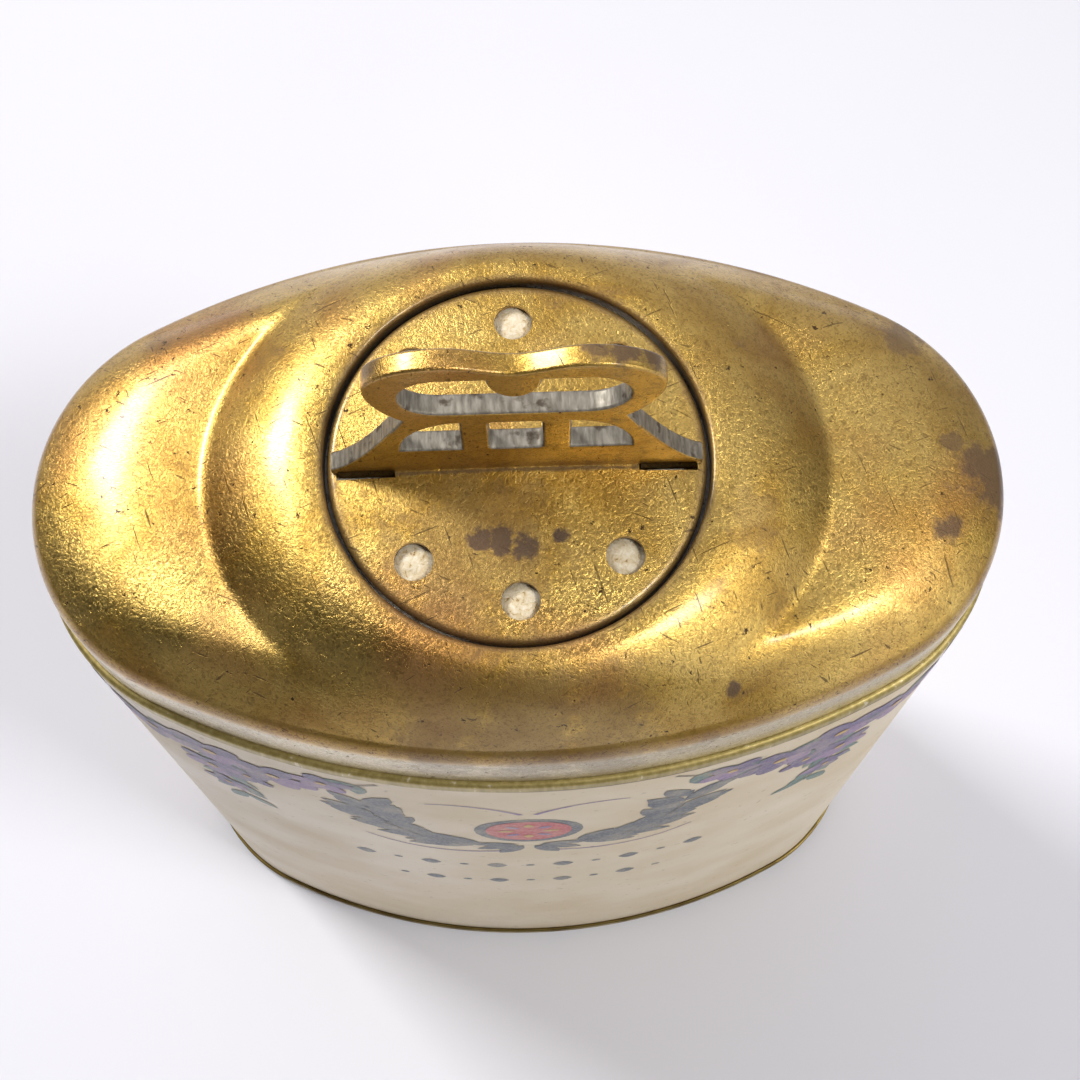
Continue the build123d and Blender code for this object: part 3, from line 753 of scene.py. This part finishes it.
    # Each listed patch browns the brass: stains, and on the lid also broad faint patches of painted shade.
    for x, y, radius, strength in stains_and_shades:
        away = node(
            material, "VectorMath", {0: level, 1: (x * MM, y * MM, 0)}, operation="DISTANCE"
        ).outputs["Value"]
        frayed = node(
            material, "Math", {0: ragged, 1: 3 * radius * MM, 2: away}, operation="MULTIPLY_ADD"
        )
        spot = node(material, "MapRange", {0: frayed, 1: 2.7 * radius * MM, 2: 2.1 * radius * MM, 4: strength})
        stain_and_shade = node(material, "Math", {0: stain_and_shade, 1: spot}, operation="MAXIMUM")
    pits = node(
        material, "TexNoise", {"Vector": place, "Scale": 1 / (0.8 * MM), "Detail": 4.0, "Roughness": 0.7}
    )
    marks = node(material, "MapRange", {0: pits, 1: 0.645, 2: 0.69})
    for turn, length in ((0.4, 16), (1.9, 22), (2.7, 12)):
        combed = node(
            material, "Mapping",
            {"Vector": place, "Rotation": (0, 0, turn), "Scale": (length, 1, 4)},
            vector_type="TEXTURE",
        )
        hairs = node(
            material, "TexNoise",
            {"Vector": combed, "Scale": 1 / (0.25 * MM), "Detail": 1.0, "Distortion": 0.3},
        )
        scratch = node(material, "MapRange", {0: hairs, 1: 0.74, 2: 0.77, 4: 0.7})
        marks = node(material, "Math", {0: marks, 1: scratch}, operation="MAXIMUM")
    colour = node(
        material, "Mix", {"Factor": marks, "A": colour, "B": paint("4B3618")}, data_type="RGBA"
    )
    brown = node(
        material, "Mix", {"Factor": ragged, "A": paint("5E4428"), "B": paint("58443A")},
        data_type="RGBA",
    )
    colour = node(material, "Mix", {"Factor": stain_and_shade, "A": colour, "B": brown}, data_type="RGBA")
    material.node_tree.links.new(colour.outputs[2], shader.inputs["Base Color"])
    metal = node(material, "MapRange", {0: stain_and_shade, 3: 1.0, 4: 0.45})
    material.node_tree.links.new(metal.outputs[0], shader.inputs["Metallic"])
    worn = node(material, "Math", {0: stain_and_shade, 1: marks}, operation="MAXIMUM")
    gloss = node(material, "MapRange", {0: tarnish, 1: 0.3, 2: 0.7, 3: 0.27, 4: 0.4})
    gloss = node(material, "Math", {0: worn, 1: 0.22, 2: gloss}, operation="MULTIPLY_ADD")
    material.node_tree.links.new(gloss.outputs[0], shader.inputs["Roughness"])
    shader.inputs["Coat Weight"].default_value = 0.5
    shader.inputs["Coat Roughness"].default_value = 0.2
    relief = node(material, "Math", {0: marks, 1: -0.5, 2: pebbles}, operation="MULTIPLY_ADD")
    grain = node(material, "Bump", {"Strength": 1.0, "Distance": 0.05 * MM, "Height": relief})
    material.node_tree.links.new(grain.outputs[0], shader.inputs["Normal"])
    return material


plate_low, plate_high = (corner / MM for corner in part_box("sieve_plate"))
plate_top = plate_low.z + TIN_SHEET
well_bottom = plate_top + 0.03
# Brown patches on the lid as (x, y, radius, strength). The broad faint ones at (-22, -14) and along the front
# near y = -19 are painted shade, the dark reflection of the room low down in front; the rest are stains.
LID_STAINS_AND_SHADES = [
    (36.6, 0.0, 3.2, 0.85), (33.8, 2.2, 1.1, 0.75), (32.6, -4.9, 1.2, 0.85), (30.6, 11.5, 2.2, 0.7),
    (15.6, -17.0, 0.5, 0.9), (-22.0, -14.0, 5.0, 0.25), (-6.0, -18.8, 4.0, 0.4), (0.5, -19.0, 4.0, 0.45), (6.0, -19.4, 3.5, 0.4),
    (-27.9, 12.4, 1.2, 0.4), (31.0, 5.0, 7.0, 0.2), (17.5, -5.0, 2.2, 0.35),
]

lid_mesh = spun(lid_section(), press_lid)
lid_brass = aged_brass("lid_brass", LID_STAINS_AND_SHADES, (WELL_RADIUS, 0.9), skirt_top * MM)
lid = make_piece(lid_mesh, "lid_shell", [lid_brass], BRASS_SHEET, crisp=60)
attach(lid, "lid")
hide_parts("lid_dome")


# ---- Sieve plate ----
# Tinplate cup pressed up over the well's wall, pierced by six powder holes half a step away from
# the disc's. Talc lies on it.

CUP_PROUD = 0.78               # outside of the cup's wall, past the well
SHANK_HOLE = 0.8
HOLE_RADIUS = 1.45
HOLE_CIRCLE = 11.0
HOLE_ANGLES = [45, 90, 135, 225, 270, 315]
OPEN_TURN = 22.5


def round_cutters(angles, height):
    """Upright drills on the hole circle, as one mesh."""
    drills = bmesh.new()
    for angle in angles:
        turn = math.radians(angle)
        spot = Matrix.Translation((HOLE_CIRCLE * math.cos(turn), HOLE_CIRCLE * math.sin(turn), height))
        bmesh.ops.create_cone(
            drills, cap_ends=True, segments=48, radius1=HOLE_RADIUS, radius2=HOLE_RADIUS,
            depth=6, matrix=spot,
        )
    return drills


def pierce(piece, cutters, rounding):
    """Cuts the cutters out of a piece for good and rounds the rims they leave."""
    drill = make_piece(cutters, "drill", [])
    drill.modifiers.clear()
    cut = piece.modifiers.new("holes", "BOOLEAN")
    cut.object = drill
    cut.solver = "EXACT"
    bpy.context.view_layer.update()
    graph = bpy.context.evaluated_depsgraph_get()
    data = bpy.data.meshes.new_from_object(piece.evaluated_get(graph))
    piece.modifiers.clear()
    piece.data = data
    bpy.data.objects.remove(drill)
    data.set_sharp_from_angle(angle=math.radians(40))
    rims = piece.modifiers.new("rims", "BEVEL")
    rims.width = rounding * MM
    rims.segments = 2
    rims.angle_limit = math.radians(50)
    normals = piece.modifiers.new("normals", "WEIGHTED_NORMAL")
    normals.keep_sharp = True


def dusted_tinplate():
    """Dull tinplate caked with talc: chalky white drifts, with grey metal scraped clear between."""
    material, place, shader = new_material("dusted_tinplate")
    drifts = node(
        material, "TexNoise",
        {"Vector": place, "Scale": 1 / (1.3 * MM), "Detail": 6.0, "Roughness": 0.65, "Distortion": 0.8},
    )
    powder = node(material, "TexNoise", {"Vector": place, "Scale": 1 / (0.15 * MM), "Detail": 2.0})
    cover = node(material, "MapRange", {0: drifts, 1: 0.34, 2: 0.46})
    talc = node(
        material, "Mix", {"Factor": powder, "A": paint("E9E0CE"), "B": paint("FFFCF2")},
        data_type="RGBA",
    )
    metal = node(
        material, "Mix", {"Factor": powder, "A": paint("7B6E5A"), "B": paint("A79C88")},
        data_type="RGBA",
    )
    colour = node(material, "Mix", {"Factor": cover, "A": metal, "B": talc}, data_type="RGBA")
    material.node_tree.links.new(colour.outputs[2], shader.inputs["Base Color"])
    bare = node(material, "MapRange", {0: cover, 3: 0.8, 4: 0.0})
    material.node_tree.links.new(bare.outputs[0], shader.inputs["Metallic"])
    gloss = node(material, "MapRange", {0: cover, 3: 0.45, 4: 0.95})
    material.node_tree.links.new(gloss.outputs[0], shader.inputs["Roughness"])
    relief = node(material, "Math", {0: powder, 1: 0.3, 2: drifts}, operation="MULTIPLY_ADD")
    caked = node(material, "Bump", {"Strength": 0.8, "Distance": 0.1 * MM, "Height": relief})
    material.node_tree.links.new(caked.outputs[0], shader.inputs["Normal"])
    return material


def caked_talc():
    """Talcum powder gone to cake: matt, creamy white, crumbly, with brown specks of rust in it."""
    material, place, shader = new_material("caked_talc")
    crumbs = node(
        material, "TexNoise",
        {"Vector": place, "Scale": 1 / (0.55 * MM), "Detail": 5.0, "Roughness": 0.7, "Distortion": 0.6},
    )
    cream = node(
        material, "Mix",
        {"Factor": node(material, "MapRange", {0: crumbs, 1: 0.35, 2: 0.65}),
         "A": paint("CDB688"), "B": paint("F3E9D2")},
        data_type="RGBA",
    )
    rust = node(material, "MapRange", {0: crumbs, 1: 0.4, 2: 0.33, 4: 0.75})
    colour = node(
        material, "Mix", {"Factor": rust, "A": cream, "B": paint("8A6232")}, data_type="RGBA"
    )
    material.node_tree.links.new(colour.outputs[2], shader.inputs["Base Color"])
    dry = node(material, "MapRange", {0: crumbs, 3: 0.85, 4: 1.0})
    material.node_tree.links.new(dry.outputs[0], shader.inputs["Roughness"])
    lumps = node(material, "Bump", {"Strength": 0.7, "Distance": 0.15 * MM, "Height": crumbs})
    material.node_tree.links.new(lumps.outputs[0], shader.inputs["Normal"])
    return material


cup_radius = WELL_RADIUS + CUP_PROUD
plate_mesh = spun(
    rounded([(cup_radius, plate_high.z), (cup_radius, plate_low.z), (SHANK_HOLE, plate_low.z)], 0.4),
    steps=96,
)
plate = make_piece(plate_mesh, "sieve_sheet", [tin_bare, dusted_tinplate()], TIN_SHEET)
drills = round_cutters([angle + OPEN_TURN for angle in HOLE_ANGLES], plate_top)
pierce(plate, drills, 0.05)
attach(plate, "lid")
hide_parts("sieve_plate")


# ---- Caked talc ----
# Old powder packed between the plate and the disc, a low uneven mound under each closed hole.

MOUND_RADIUS = 2.1
MOUND_HEIGHT = 1.5

mounds = bmesh.new()
for angle in HOLE_ANGLES:
    turn = math.radians(angle)
    middle = Vector((HOLE_CIRCLE * math.cos(turn), HOLE_CIRCLE * math.sin(turn), plate_top))
    made = bmesh.ops.create_icosphere(mounds, subdivisions=4, radius=1)
    for vertex in made["verts"]:
        level = 1 - 0.3 * max(noise.noise(vertex.co * 1.4 + middle), 0)
        vertex.co.x *= MOUND_RADIUS
        vertex.co.y *= MOUND_RADIUS
        vertex.co.z = math.copysign(abs(vertex.co.z) ** 0.5, vertex.co.z) * MOUND_HEIGHT * level
        vertex.co += middle
bmesh.ops.bisect_plane(
    mounds, geom=[*mounds.verts, *mounds.edges, *mounds.faces], plane_co=(0, 0, plate_top),
    plane_no=(0, 0, -1), clear_outer=True,
)
talc = make_piece(mounds, "caked_talc", [caked_talc()])
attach(talc, "lid")


# ---- Sifter disc ----
# Crowned brass disc with a turned-down edge, stamped with six powder holes and a slot under each
# foot of the key. It turns in the well with the key, over the sieve plate.

DISC_EDGE_ROUNDING = 0.6
DISC_CROWN = 0.6
SLOT_LENGTH = 4.4
SLOT_WIDTH = 0.9
SLOT_MIDDLE = (11.25, -0.8)

disc_low, disc_high = (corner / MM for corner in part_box("sifter_disc"))
disc_radius = disc_high.x
flat_radius = disc_radius - DISC_EDGE_ROUNDING
crown_radius = (flat_radius**2 + DISC_CROWN**2) / (2 * DISC_CROWN)


def crown_height(distance):
    """Height of the disc's top at a distance from its middle."""
    return disc_high.z - crown_radius + math.sqrt(crown_radius**2 - distance**2)


edge_top = crown_height(flat_radius)
disc_path = [(0, disc_high.z)]
disc_path += [(flat_radius * step / 12, crown_height(flat_radius * step / 12)) for step in range(1, 12)]
disc_path += rounded(
    [(flat_radius - 0.2, edge_top), (disc_radius, edge_top), (disc_radius, disc_low.z)],
    DISC_EDGE_ROUNDING,
)[1:]
disc_mesh = spun(disc_path, steps=180)
DISC_SPOTS = [
    (-2.8, -6.3, 1.1, 0.95), (-1.2, -6.6, 1.2, 0.95), (0.2, -6.9, 1.2, 0.95), (3.1, -6.2, 0.7, 0.95),
    (-4.0, -7.0, 7.0, 0.4),
    (3.3, 13.9, 0.5, 0.8), (-9.0, 8.2, 1.0, 0.4),
]
disc_brass = aged_brass("disc_brass", DISC_SPOTS, (disc_radius, 1.3), foot_line=(-1.0, 9.0))
disc = make_piece(disc_mesh, "sifter_plate", [disc_brass], BRASS_SHEET)
holes = round_cutters(HOLE_ANGLES, disc_high.z)
for side in (-1, 1):
    spot = Matrix.Translation((side * SLOT_MIDDLE[0], SLOT_MIDDLE[1], disc_high.z))
    bmesh.ops.create_cube(holes, size=1, matrix=spot @ Matrix.Diagonal((SLOT_LENGTH, SLOT_WIDTH, 6, 1)))
pierce(disc, holes, 0.08)
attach(disc, "sifter")
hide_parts("sifter_disc")


# ---- Thumb key ----
# Cut from thick brass strip: a broad foot along the disc, a waist and two rounded wings for finger
# and thumb, pierced with a wide window over three lower ones. Lugs through the disc's slots are
# clenched under it, and a shank is riveted below the sieve plate.

KEY_THICKNESS = 1.6
KEY_ROUNDING = 0.25
KEY_HALF_SPAN = 13.8
KEY_TIP = 0.1                  # top of the foot's tip over the middle of the disc
KEY_HEIGHT = 19.2
KEY_DIP = 1.2
POST_INNER = 1.9               # from the middle to each of the posts between the lower windows
POST_OUTER = 3.95
UPPER_SILL = 11.0              # wide upper window
UPPER_HEAD = 16.9
UPPER_HALF_WIDTH = 7.9
TONGUE_DROP = 3.0              # how far a tongue hangs into it from between the wings
LOWER_SILL = 4.0               # row of three lower windows
LOWER_HEAD = 9.15
LOWER_SIDE_WIDTH = 4.4         # each outer window is a quarter of an oval
CORNER = 0.4
ROUND = 0.5523                 # handle length that makes a quarter circle of a Bezier segment


def add_loop(curve, knots):
    """Adds a closed loop of (point, handle before, handle after) to a flat curve."""
    loop = curve.splines.new("BEZIER")
    loop.bezier_points.add(len(knots) - 1)
    loop.use_cyclic_u = True
    for knot, (at, before, after) in zip(loop.bezier_points, knots):
        knot.co = (*at, 0)
        knot.handle_left = (*before, 0)
        knot.handle_right = (*after, 0)


def line_knot(x, z):
    """A knot between two straight sides."""
    return (x, z), (x, z), (x, z)


def corner_knots(x, z, inward_x, inward_z, radius, flip=False):
    """Two knots of a corner rounded off at (x, z), the one on the upright side first."""
    upright = Vector((x, z + inward_z * radius))
    flat = Vector((x + inward_x * radius, z))
    bend_up = upright - Vector((0, inward_z * radius * ROUND))
    bend_flat = flat - Vector((inward_x * radius * ROUND, 0))
    knots = [(upright, upright, bend_up), (flat, bend_flat, flat)]
    if flip:
        knots = [(at, after, before) for at, before, after in reversed(knots)]
    return knots


def mirror_half(half):
    """The right half of a loop, joined to its mirror image."""
    return half + [
        tuple((-x, z) for x, z in (at, after, before)) for at, before, after in reversed(half)
    ]


def upper_window():
    """The wide window: round ends, a level sill, and a tongue hanging from its head."""
    rise = (UPPER_HEAD - UPPER_SILL) / 2 - 0.1
    half = corner_knots(UPPER_HALF_WIDTH, UPPER_SILL, -1, 1, rise, flip=True)
    half += corner_knots(UPPER_HALF_WIDTH, UPPER_HEAD, -1, -1, rise)
    half.append(((POST_INNER, UPPER_HEAD), (POST_INNER, UPPER_HEAD),
                 (POST_INNER, UPPER_HEAD - TONGUE_DROP * ROUND)))
    half.append(((0, UPPER_HEAD - TONGUE_DROP), (POST_INNER * ROUND, UPPER_HEAD - TONGUE_DROP),
                 (-POST_INNER * ROUND, UPPER_HEAD - TONGUE_DROP)))
    return half + mirror_half(half[:-1])[len(half) - 1:]


def middle_window():
    """The lower window between the posts."""
    half = corner_knots(POST_INNER, LOWER_SILL, -1, 1, CORNER, flip=True)
    return mirror_half(half + corner_knots(POST_INNER, LOWER_HEAD, -1, -1, CORNER))


def outer_window(side):
    """A lower window beyond a post, rounded off to the foot's slope."""
    height = LOWER_HEAD - LOWER_SILL
    outer = POST_OUTER + LOWER_SIDE_WIDTH
    knots = [line_knot(POST_OUTER, LOWER_HEAD), line_knot(POST_OUTER, LOWER_SILL)]
    bend = LOWER_SILL + height * ROUND
    knots.append(((outer, LOWER_SILL), (outer, LOWER_SILL), (outer, bend)))
    at, before, after = knots[0]
    knots[0] = (at, (POST_OUTER + LOWER_SIDE_WIDTH * ROUND, LOWER_HEAD), after)
    return [tuple((side * x, z) for x, z in knot) for knot in knots]


def key_outline():
    """Knots of the key's outline, from the middle of the foot round by the right wing and back."""
    foot = crown_height(KEY_HALF_SPAN - 0.2) - disc_high.z + 0.03
    half = [
        ((KEY_HALF_SPAN, foot), (KEY_HALF_SPAN / 2, foot / 3), (KEY_HALF_SPAN, foot + 0.2)),
        ((KEY_HALF_SPAN, KEY_TIP), (KEY_HALF_SPAN, KEY_TIP - 0.2), (11.8, 1.0)),
        ((7.9, 9.9), (9.3, 6.4), (9.1, 11.0)),
        ((10.3, 15.6), (10.4, 13.4), (10.2, 17.6)),
        ((5.0, KEY_HEIGHT), (7.6, KEY_HEIGHT), (3.0, KEY_HEIGHT)),
    ]
    dip = ((0, KEY_HEIGHT - KEY_DIP), (1.6, KEY_HEIGHT - KEY_DIP), (-1.6, KEY_HEIGHT - KEY_DIP))
    return half + [dip] + mirror_half(half)[len(half):]


def in_opening(x, z):
    """Whether a point of the key lies on the wall of an opening."""
    edge = KEY_ROUNDING
    in_upper = UPPER_SILL - edge < z < UPPER_HEAD + edge and abs(x) < UPPER_HALF_WIDTH + edge
    in_lower = LOWER_SILL - edge < z < LOWER_HEAD + edge and abs(x) < POST_OUTER + LOWER_SIDE_WIDTH + edge
    return in_upper or in_lower


def sheared_brass():
    """Edges left by the blanking die: torn grey-brown metal that never took the lacquer."""
    material, place, shader = new_material("sheared_brass")
    torn = node(material, "Mapping", {"Vector": place, "Scale": (1.0, 0.25, 1.0)})
    tears = node(material, "TexNoise", {"Vector": torn, "Scale": 1 / (0.35 * MM), "Detail": 5.0})
    dirt = node(material, "TexNoise", {"Vector": place, "Scale": 1 / (1.2 * MM), "Detail": 4.0})
    grey = node(
        material, "Mix",
        {"Factor": node(material, "MapRange", {0: tears, 1: 0.35, 2: 0.65}),
         "A": paint("7A7366"), "B": paint("A39C8E")},
        data_type="RGBA",
    )
    colour = node(
        material, "Mix",
        {"Factor": node(material, "MapRange", {0: dirt, 1: 0.56, 2: 0.66, 4: 0.8}),
         "A": grey, "B": paint("4A3C2E")},
        data_type="RGBA",
    )
    material.node_tree.links.new(colour.outputs[2], shader.inputs["Base Color"])
    shader.inputs["Metallic"].default_value = 0.7
    gloss = node(material, "MapRange", {0: dirt, 1: 0.3, 2: 0.7, 3: 0.45, 4: 0.7})
    material.node_tree.links.new(gloss.outputs[0], shader.inputs["Roughness"])
    relief = node(material, "Bump", {"Strength": 0.8, "Distance": 0.06 * MM, "Height": tears})
    material.node_tree.links.new(relief.outputs[0], shader.inputs["Normal"])
    return material


def flat_blank():
    """The key's blank as a mesh, standing on the disc."""
    curve = bpy.data.curves.new("blank", "CURVE")
    curve.dimensions = "2D"
    curve.fill_mode = "BOTH"
    curve.resolution_u = 10
    curve.bevel_depth = KEY_ROUNDING
    curve.bevel_resolution = 2
    curve.offset = -KEY_ROUNDING
    curve.extrude = KEY_THICKNESS / 2 - KEY_ROUNDING
    add_loop(curve, key_outline())
    add_loop(curve, upper_window())
    add_loop(curve, middle_window())
    for side in (-1, 1):
        add_loop(curve, outer_window(side))
    flat = bpy.data.objects.new("blank", curve)
    data = bpy.data.meshes.new_from_object(flat)
    bpy.data.objects.remove(flat)
    mesh = bmesh.new()
    mesh.from_mesh(data)
    bmesh.ops.remove_doubles(mesh, verts=mesh.verts, dist=0.001)
    return mesh


key_low, key_high = (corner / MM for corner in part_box("thumb_key"))
key_mesh = flat_blank()
upright = Matrix.Translation((0, 0, disc_high.z)) @ Matrix.Rotation(math.pi / 2, 4, "X")
bmesh.ops.transform(key_mesh, matrix=upright, verts=key_mesh.verts)
bmesh.ops.recalc_face_normals(key_mesh, faces=key_mesh.faces)
for face in key_mesh.faces:
    middle = face.calc_center_median()
    height = middle.z - disc_high.z
    sheared_foot = height < 9.9 and abs(face.normal.y) < 0.5 and abs(middle.x) > 7.9
    if sheared_foot or (abs(face.normal.y) < 0.9 and in_opening(middle.x, height)):
        face.material_index = 1

LUG = (11.25, 4.1, 0.4)        # place across, length and thickness
LUG_FOLD = 1.9
SHANK_RADIUS = 0.75
RIVET_RADIUS = 1.6
RIVET_HEIGHT = 0.6
fold_bottom = crown_height(13.3) - BRASS_SHEET - 0.05 - LUG[2]
lug_rise = disc_high.z - fold_bottom
lug_front = LUG[2] / 2 - KEY_THICKNESS / 2
for side in (-1, 1):
    for size, at in (
        ((LUG[1], LUG[2], lug_rise), (side * LUG[0], lug_front, fold_bottom + lug_rise / 2)),
        ((LUG[1], LUG_FOLD, LUG[2]), (side * LUG[0], (LUG_FOLD - KEY_THICKNESS) / 2, fold_bottom + LUG[2] / 2)),
    ):
        bmesh.ops.create_cube(
            key_mesh, size=1, matrix=Matrix.Translation(at) @ Matrix.Diagonal((*size, 1))
        )
shank_top = disc_high.z + 0.6
for radius, low, high in (
    (SHANK_RADIUS, key_low.z + RIVET_HEIGHT / 2, shank_top),
    (RIVET_RADIUS, key_low.z, key_low.z + RIVET_HEIGHT),
):
    bmesh.ops.create_cone(
        key_mesh, cap_ends=True, segments=48, radius1=radius, radius2=radius, depth=high - low,
        matrix=Matrix.Translation((0, 0, (low + high) / 2)),
    )
KEY_SPOTS = [(5.4, 0.7, 1.1, 0.8), (7.4, 0.6, 1.2, 0.9), (9.2, 0.5, 1.1, 0.9), (-9.8, 0.6, 0.9, 0.7)]
key_brass = aged_brass("key_brass", KEY_SPOTS, (KEY_HALF_SPAN, 0.8))
key = make_piece(key_mesh, "thumb_grip", [key_brass, sheared_brass()])
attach(key, "sifter")
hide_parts("thumb_key")


# ---- Pivot washer ----
# Small dished spring of tinplate over the shank, under the sieve plate. It stays as it is in the frame.

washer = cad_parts["pivot_washer"]
washer.data.materials.clear()
washer.data.materials.append(tin_bare)


# ---- Setting ----
# A plain pale table, soft lights overhead on both sides, and the camera nearly above the lid.

CAMERA_PLACE = Vector((0.45, -51.4, 249.8))
CAMERA_YAW = 0.0239
CAMERA_PITCH = 1.2641
CAMERA_ROLL = -0.0065
LENS = 67.64
BRIGHT_BACK = (0, 0.89, 0.45)  # the room is bright this way, and dark low down towards the camera


def table_top():
    """Pale matt laminate, with the faintest unevenness."""
    material, place, shader = new_material("pale_table")
    clouds = node(material, "TexNoise", {"Vector": place, "Scale": 1 / (90 * MM), "Detail": 2.0})
    colour = node(
        material, "Mix", {"Factor": clouds, "A": paint("E2E1E7"), "B": paint("E9E8ED")},
        data_type="RGBA",
    )
    material.node_tree.links.new(colour.outputs[2], shader.inputs["Base Color"])
    shader.inputs["Roughness"].default_value = 0.7
    return material


floor_mesh = bmesh.new()
bmesh.ops.create_grid(floor_mesh, x_segments=8, y_segments=8, size=1500)
floor = make_piece(floor_mesh, "table", [table_top()])

camera_data = bpy.data.cameras.new("camera")
camera_data.lens = LENS
camera_data.sensor_width = 36
camera_data.clip_start = 0.01
camera = bpy.data.objects.new("camera", camera_data)
bpy.context.scene.collection.objects.link(camera)
ahead = Vector((
    math.sin(CAMERA_YAW) * math.cos(CAMERA_PITCH),
    math.cos(CAMERA_YAW) * math.cos(CAMERA_PITCH),
    -math.sin(CAMERA_PITCH),
))
right = Vector((math.cos(CAMERA_YAW), -math.sin(CAMERA_YAW), 0))
up = right.cross(ahead)
level = Matrix((right, up, -ahead)).transposed()
camera.matrix_world = (
    Matrix.Translation(CAMERA_PLACE * MM)
    @ level.to_4x4()
    @ Matrix.Rotation(CAMERA_ROLL, 4, "Z")
)
bpy.context.scene.camera = camera

world = bpy.data.worlds.new("studio")
bpy.context.scene.world = world
world.use_nodes = True
world_nodes = world.node_tree.nodes
direction = world_nodes.new("ShaderNodeTexCoord")
over_back = world_nodes.new("ShaderNodeVectorMath")
over_back.operation = "DOT_PRODUCT"
over_back.inputs[1].default_value = BRIGHT_BACK
world.node_tree.links.new(direction.outputs["Generated"], over_back.inputs[0])
glow = world_nodes.new("ShaderNodeFloatCurve")
for place, value in ((-0.7, 0.06), (-0.27, 0.15), (0.7, 0.5)):
    glow.mapping.curves[0].points.new(place, value)
glow.mapping.clip_min_x = -1
glow.mapping.curves[0].points[0].location = (-1, 0.05)
glow.mapping.curves[0].points[-1].location = (1, 0.85)
glow.mapping.update()
world.node_tree.links.new(over_back.outputs["Value"], glow.inputs["Value"])
world.node_tree.links.new(glow.outputs[0], world_nodes["Background"].inputs["Strength"])
world_nodes["Background"].inputs["Color"].default_value = paint("F7F6FF")

for name, toward, distance, size, watts in (
    ("left_softbox", (-0.58, 0.42, 0.72), 0.6, 0.15, 2.8),
    ("right_softbox", (0.47, -0.24, 0.85), 0.6, 0.13, 1.7),
    ("right_window", (0.74, -0.46, 0.45), 0.6, 0.6, 1.2),
):
    lamp = bpy.data.lights.new(name, "AREA")
    lamp.size = size
    lamp.energy = watts
    softbox = bpy.data.objects.new(name, lamp)
    softbox.location = Vector(toward).normalized() * distance + Vector((0, 0, 0.1))
    softbox.rotation_euler = Vector(toward).to_track_quat("Z", "Y").to_euler()
    bpy.context.scene.collection.objects.link(softbox)

bpy.context.scene.view_settings.view_transform = "Standard"
